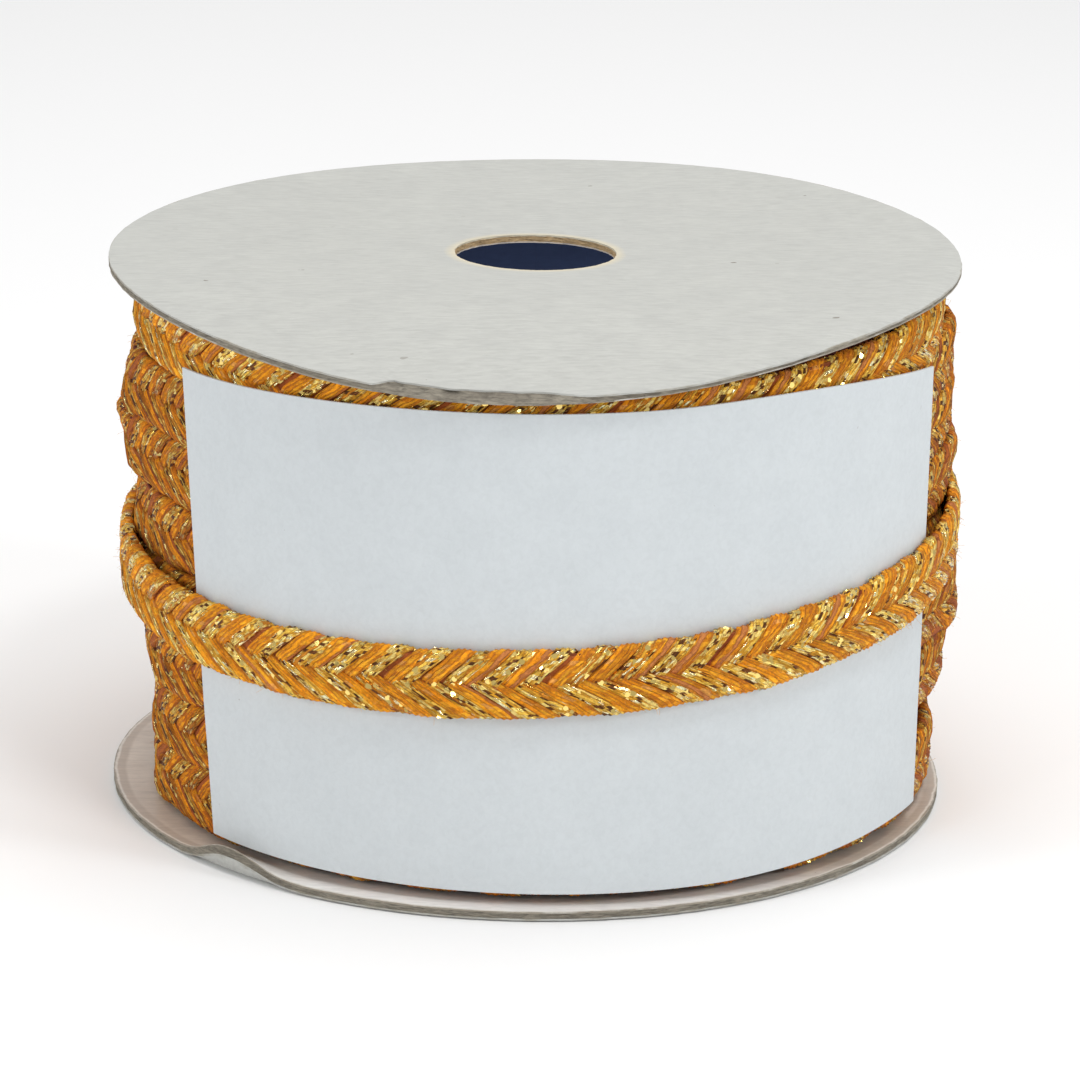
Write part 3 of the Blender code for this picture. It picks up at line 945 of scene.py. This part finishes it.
deselect()
bpy.ops.mesh.primitive_cylinder_add(
    vertices=180, radius=BURIED_RADIUS - 0.6 * MM, depth=DRUM_HEIGHT, end_fill_type="NOTHING",
    location=(WINDING_OFFSET, 0.0, FLANGE + 0.2 * MM + DRUM_HEIGHT / 2),
)
drum = bpy.context.object
packed = drum.modifiers.new("packed", "SOLIDIFY")
packed.thickness = DRUM_WALL
packed.offset = -1.0
bpy.ops.object.modifier_apply(modifier="packed")
bpy.ops.object.shade_smooth_by_angle(angle=math.radians(40.0))
# The drum takes the dark yarn: painted shade between the turns.
drum.data.materials.append(painted_shade_yarn)
drum.data.uv_layers.active.name = "yarn"
for loop in drum.data.uv_layers.active.data:
    loop.uv = (loop.uv.x * 60.0, loop.uv.y * 18.0)
buried = []
for height, dip in BURIED_TURNS:
    route = []
    for step in range(ROUTE_POINTS + 1):
        facing = BURIED_FROM + (BURIED_TO - BURIED_FROM) * step / ROUTE_POINTS
        x = WINDING_OFFSET + BURIED_RADIUS * math.sin(facing)
        drop = dip * (1.0 + math.cos(facing)) / 2
        route.append((x, -BURIED_RADIUS * math.cos(facing), (height - drop) * MM, 0.0))
    buried.append(lay_plait("braid_inner_layers_plait", route, closed=False, uneven=0.35 * MM))
# The buried stretches get the yarn copies with painted shade.
for stretch_of_turn in buried:
    give_painted_shade(stretch_of_turn)
deselect()
drum.select_set(True)
for stretch_of_turn in buried:
    stretch_of_turn.select_set(True)
bpy.context.view_layer.objects.active = buried[0]
bpy.ops.object.join()
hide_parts("braid_inner_layers")
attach(buried[0], "spool")


# ---------------------------------------------------------------------------------------------
# Outer turns
# The outermost layer of the braid: eight overlapping turns that climb towards the upper flange,
# lying flat under the label and wandering in and out on either side of it.

LABEL_ZONE = (math.radians(-66.0), math.radians(73.5))
UNDER_LABEL = 47.65 * MM
# Heights and radii in mm where the turn passes the back, the left, the front, the right and
# the back again, and the tilt in degrees on the left and on the right.
TURNS = (
    ((5.3, 5.5, 5.7, 5.8, 8.8), (45.8, 45.3, 47.0, 48.2, 47.4), (-12.0, 4.0)),
    ((8.8, 11.8, 14.0, 17.6, 17.8), (47.4, 45.6, 47.6, 49.5, 48.4), (-10.0, 4.0)),
    ((17.8, 19.0, 22.2, 25.0, 26.2), (48.4, 47.2, 47.6, 50.9, 48.6), (8.0, -6.0)),
    ((26.2, 27.0, 29.6, 32.8, 34.0), (48.6, 47.8, 47.6, 48.6, 48.2), (12.0, -12.0)),
    ((34.0, 35.0, 37.8, 40.8, 42.0), (48.2, 48.4, 47.6, 49.4, 48.6), (-8.0, 10.0)),
    ((42.0, 43.0, 46.0, 48.4, 48.8), (48.6, 50.1, 47.6, 49.0, 48.6), (10.0, 8.0)),
    ((48.8, 50.6, 53.6, 55.4, 57.4), (48.6, 49.7, 47.6, 49.0, 48.4), (-9.0, 4.0)),
    ((57.4, 60.0, 56.1, 60.6, 60.4), (48.4, 48.1, 47.6, 46.8, 46.6), (-8.0, -8.0)),
)


def eased(values, place):
    """A smooth line through values at -180, -90, 0, 90 and 180 degrees, read at place (0 to 4)."""
    index = min(3, int(place))
    share = place - index
    change = values[index + 1] - values[index]
    return values[index] + change * smooth_step(share) * 0.5 + change * share * 0.5


def turn_route(heights, radii, tilts):
    """Route points once round, at an even radius under the label."""
    route = []
    for step in range(ROUTE_POINTS + 1):
        facing = -math.pi + 2 * math.pi * step / ROUTE_POINTS
        place = 4.0 * step / ROUTE_POINTS
        height = eased(heights, place)
        radius = eased(radii, place) * MM
        left_of = smooth_step((LABEL_ZONE[0] - facing) / math.radians(22.0))
        right_of = smooth_step((facing - LABEL_ZONE[1]) / math.radians(18.0))
        radius = UNDER_LABEL + (radius - UNDER_LABEL) * max(left_of, right_of)
        tilt = tilts[0] if facing < 0.0 else tilts[1]
        tilt *= abs(math.sin(facing)) * max(left_of, right_of)
        x = WINDING_OFFSET + radius * math.sin(facing)
        y = -radius * math.cos(facing)
        route.append((x, y, height * MM, math.radians(tilt)))
    return route


for index, (heights, radii, tilts) in enumerate(TURNS, start=1):
    route = turn_route(heights, radii, tilts)
    turn = lay_plait(f"braid_turn_{index}_plait", route, closed=False, uneven=0.35 * MM)
    # All but the last turn get the yarn copies with painted shade; the last turn stays bright.
    if index < len(TURNS):
        give_painted_shade(turn)
    fray(turn, count=160, clear=74.0, seed=index)
    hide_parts(f"braid_turn_{index}")
    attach(turn, "spool")


# ---------------------------------------------------------------------------------------------
# Card label
# A blank white card, cut with a guillotine, wrapped round the front of the winding. Nothing
# fixes it: the last turn of braid presses it down, so it can slip round.

LABEL_RADIUS = 48.9 * MM
CARD = 0.3 * MM
LEFT_TOP, LEFT_BOTTOM = math.radians(-57.0), math.radians(-49.5)
RIGHT_TOP, RIGHT_BOTTOM = math.radians(67.8), math.radians(67.6)
# In mm: the lower edge sags a little and rises at the right, and the upper one is crowned, with a
# shallow dip where the worn flange presses on it.
LOW_EDGE, LOW_SAG, LOW_RISE = 2.7, 0.2, 0.9
HIGH_EDGE, HIGH_SLOPE, HIGH_CROWN, HIGH_DIP = 57.5, 0.2, 2.5, 1.0
SWELL = 0.10 * MM

card_white = paper(
    "blank white card",
    base=(0.645, 0.685, 0.705), shade=(0.62, 0.66, 0.68), fleck=(0.42, 0.42, 0.42),
    roughness=0.8, relief=0.3, grain=(0.5, 0.5, 0.5), contrast=0.95,
)
deselect()
bpy.ops.mesh.primitive_grid_add(x_subdivisions=140, y_subdivisions=48, size=1.0)
card = bpy.context.object
card.name = "label_card_sheet"
for vert in card.data.vertices:
    across, up = vert.co.x + 0.5, vert.co.y + 0.5
    start = LEFT_BOTTOM + (LEFT_TOP - LEFT_BOTTOM) * up
    end = RIGHT_BOTTOM + (RIGHT_TOP - RIGHT_BOTTOM) * up
    facing = start + (end - start) * across
    sag = LOW_SAG * math.sin(math.pi * across)
    low = (LOW_EDGE - sag + LOW_RISE * smooth_step((across - 0.62) / 0.34)) * MM
    dip = HIGH_DIP * math.exp(-(((across - 0.56) / (0.26 if across < 0.56 else 0.16)) ** 2))
    crown = HIGH_CROWN * math.sin(math.pi * across**1.5)
    high = (HIGH_EDGE - HIGH_SLOPE * across + crown - dip) * MM
    swell = SWELL * max(0.0, noise.noise(Vector((across * 4.0, up * 5.0, 0.3))))
    radius = LABEL_RADIUS + swell
    x = WINDING_OFFSET + radius * math.sin(facing)
    vert.co = (x, -radius * math.cos(facing), low + (high - low) * up)
bpy.ops.object.mode_set(mode="EDIT")
bpy.ops.mesh.select_all(action="SELECT")
bpy.ops.mesh.normals_make_consistent(inside=False)
bpy.ops.object.mode_set(mode="OBJECT")
middle = card.data.polygons[len(card.data.polygons) // 2]
if middle.normal.y > 0.0:
    card.data.flip_normals()
stock = card.modifiers.new("stock", "SOLIDIFY")
stock.thickness = CARD
stock.offset = 1.0
bpy.ops.object.modifier_apply(modifier="stock")
bpy.ops.object.shade_smooth_by_angle(angle=math.radians(40.0))
card.data.materials.append(card_white)
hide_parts("label_card")
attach(card, "label")


# ---------------------------------------------------------------------------------------------
# Last turn and its end
# The braid's last turn crosses the label, climbing to the right, and closes behind the spool,
# where its cut end lies under it on the winding.

BAND_RADIUS = 50.3 * MM
BAND_HEIGHT, BAND_CLIMB = 32.1, 5.0  # mm
BAND_LEVEL_AT = math.radians(60.0)
TAIL_RADIUS = 49.8 * MM
TAIL_POINTS = 13
TAIL_FROM, TAIL_SWEEP = 162.0, 43.0  # degrees round from the front
TAIL_HEIGHT, TAIL_DROP = 20.5, 3.0  # mm

band_route = []
for step in range(ROUTE_POINTS):
    facing = -math.pi + 2 * math.pi * step / ROUTE_POINTS
    height = (BAND_HEIGHT + BAND_CLIMB * math.sin(facing - BAND_LEVEL_AT)) * MM
    x = WINDING_OFFSET + BAND_RADIUS * math.sin(facing)
    band_route.append((x, -BAND_RADIUS * math.cos(facing), height, 0.0))
band = lay_plait("braid_band_plait", band_route, closed=True, uneven=0.16 * MM)
fray(band, count=1100, clear=0.0, seed=20)
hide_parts("braid_band")
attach(band, "spool")

tail_route = []
for step in range(TAIL_POINTS):
    facing = math.radians(TAIL_FROM + TAIL_SWEEP * step / (TAIL_POINTS - 1))
    x = WINDING_OFFSET + TAIL_RADIUS * math.sin(facing)
    height = (TAIL_HEIGHT - TAIL_DROP * step / (TAIL_POINTS - 1)) * MM
    tail_route.append((x, -TAIL_RADIUS * math.cos(facing), height, 0.0))
tail = lay_plait("braid_tail_plait", tail_route, closed=False, uneven=0.2 * MM)
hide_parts("braid_tail")
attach(tail, "spool")

bpy.data.objects.remove(repeat, do_unlink=True)
